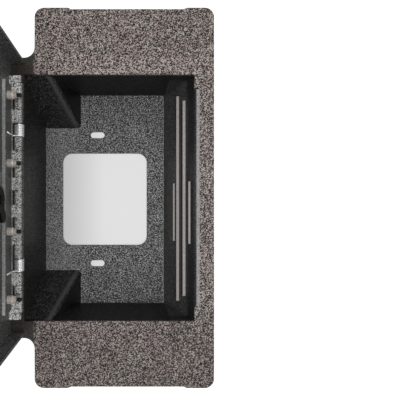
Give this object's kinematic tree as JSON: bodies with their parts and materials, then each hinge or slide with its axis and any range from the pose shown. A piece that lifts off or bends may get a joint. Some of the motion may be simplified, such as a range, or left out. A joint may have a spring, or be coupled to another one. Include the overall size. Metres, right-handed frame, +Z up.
{
  "type": "console safe",
  "caption": "Shallow sheet-steel console safe with a wide mounting plate and a sprung, hinged, keyed lid resting open.",
  "frame": {"origin": "midway between the two bolt slots, on the underside of the floor", "axes": "+Z up out of the box, +Y along the hinge, +X from the hinge to the strike"},
  "size_m": [0.2192, 0.3652, 0.2514],
  "materials": {
    "powder_coat": "textured",
    "hinge_steel": "satin",
    "spring_steel": "polished",
    "zinc": "satin",
    "black_oxide": "satin",
    "lock_black": "gloss",
    "key_brass": "satin"
  },
  "bodies": {
    "root": {"floor_tray": "powder_coat", "hinge_side_wall": "powder_coat", "latch_side_wall": "powder_coat", "top_plate": "powder_coat", "rear_gusset": "powder_coat", "front_gusset": "powder_coat", "strike_channel": "powder_coat", "strike_saddle": "powder_coat", "body_hinge_leaf": "hinge_steel", "hinge_pin": "hinge_steel", "hinge_spring_rear": "spring_steel", "hinge_spring_front": "spring_steel"},
    "lid": {"lid_hinge_leaf": "hinge_steel", "lid_pan": "powder_coat", "lid_studs": "zinc", "lid_lock_nuts": "zinc", "lock_body": "lock_black", "escutcheon": "lock_black", "lock_nut": "zinc", "guide_posts": "zinc", "guide_washers": "zinc", "guide_screws": "zinc"},
    "bolt": {"bolt": "powder_coat"},
    "knob": {"knob": "lock_black", "spindle": "black_oxide", "crank": "black_oxide", "crank_screw": "zinc"},
    "key_plug": {"key_plug": "key_brass"}
  },
  "joints": [
    {"name": "lid_hinge", "type": "hinge", "parent": "root", "child": "lid", "pos_m": [-0.0694, 0, 0.07486], "axis": [0, 1, 0], "range_deg": [0, 90], "stiffness_Nm_per_rad": 0.55, "springref_deg": -20.05, "deforming": ["hinge_spring_rear", "hinge_spring_front"]},
    {"name": "bolt_slide", "type": "slide", "parent": "lid", "child": "bolt", "axis": [0, 0, 1], "range_m": [0, 0.014]},
    {"name": "knob_turn", "type": "hinge", "parent": "lid", "child": "knob", "pos_m": [-0.0694, -0.0035, 0.16246], "axis": [-1, 0, 0], "range_deg": [0, 60]},
    {"name": "key_turn", "type": "hinge", "parent": "knob", "child": "key_plug", "pos_m": [-0.0694, -0.0035, 0.16246], "axis": [-1, 0, 0], "range_deg": [0, 90]}
  ],
  "couplings": [
    {"joint": "knob_turn", "follows": "bolt_slide", "rad_per_m": 74.79}
  ]
}
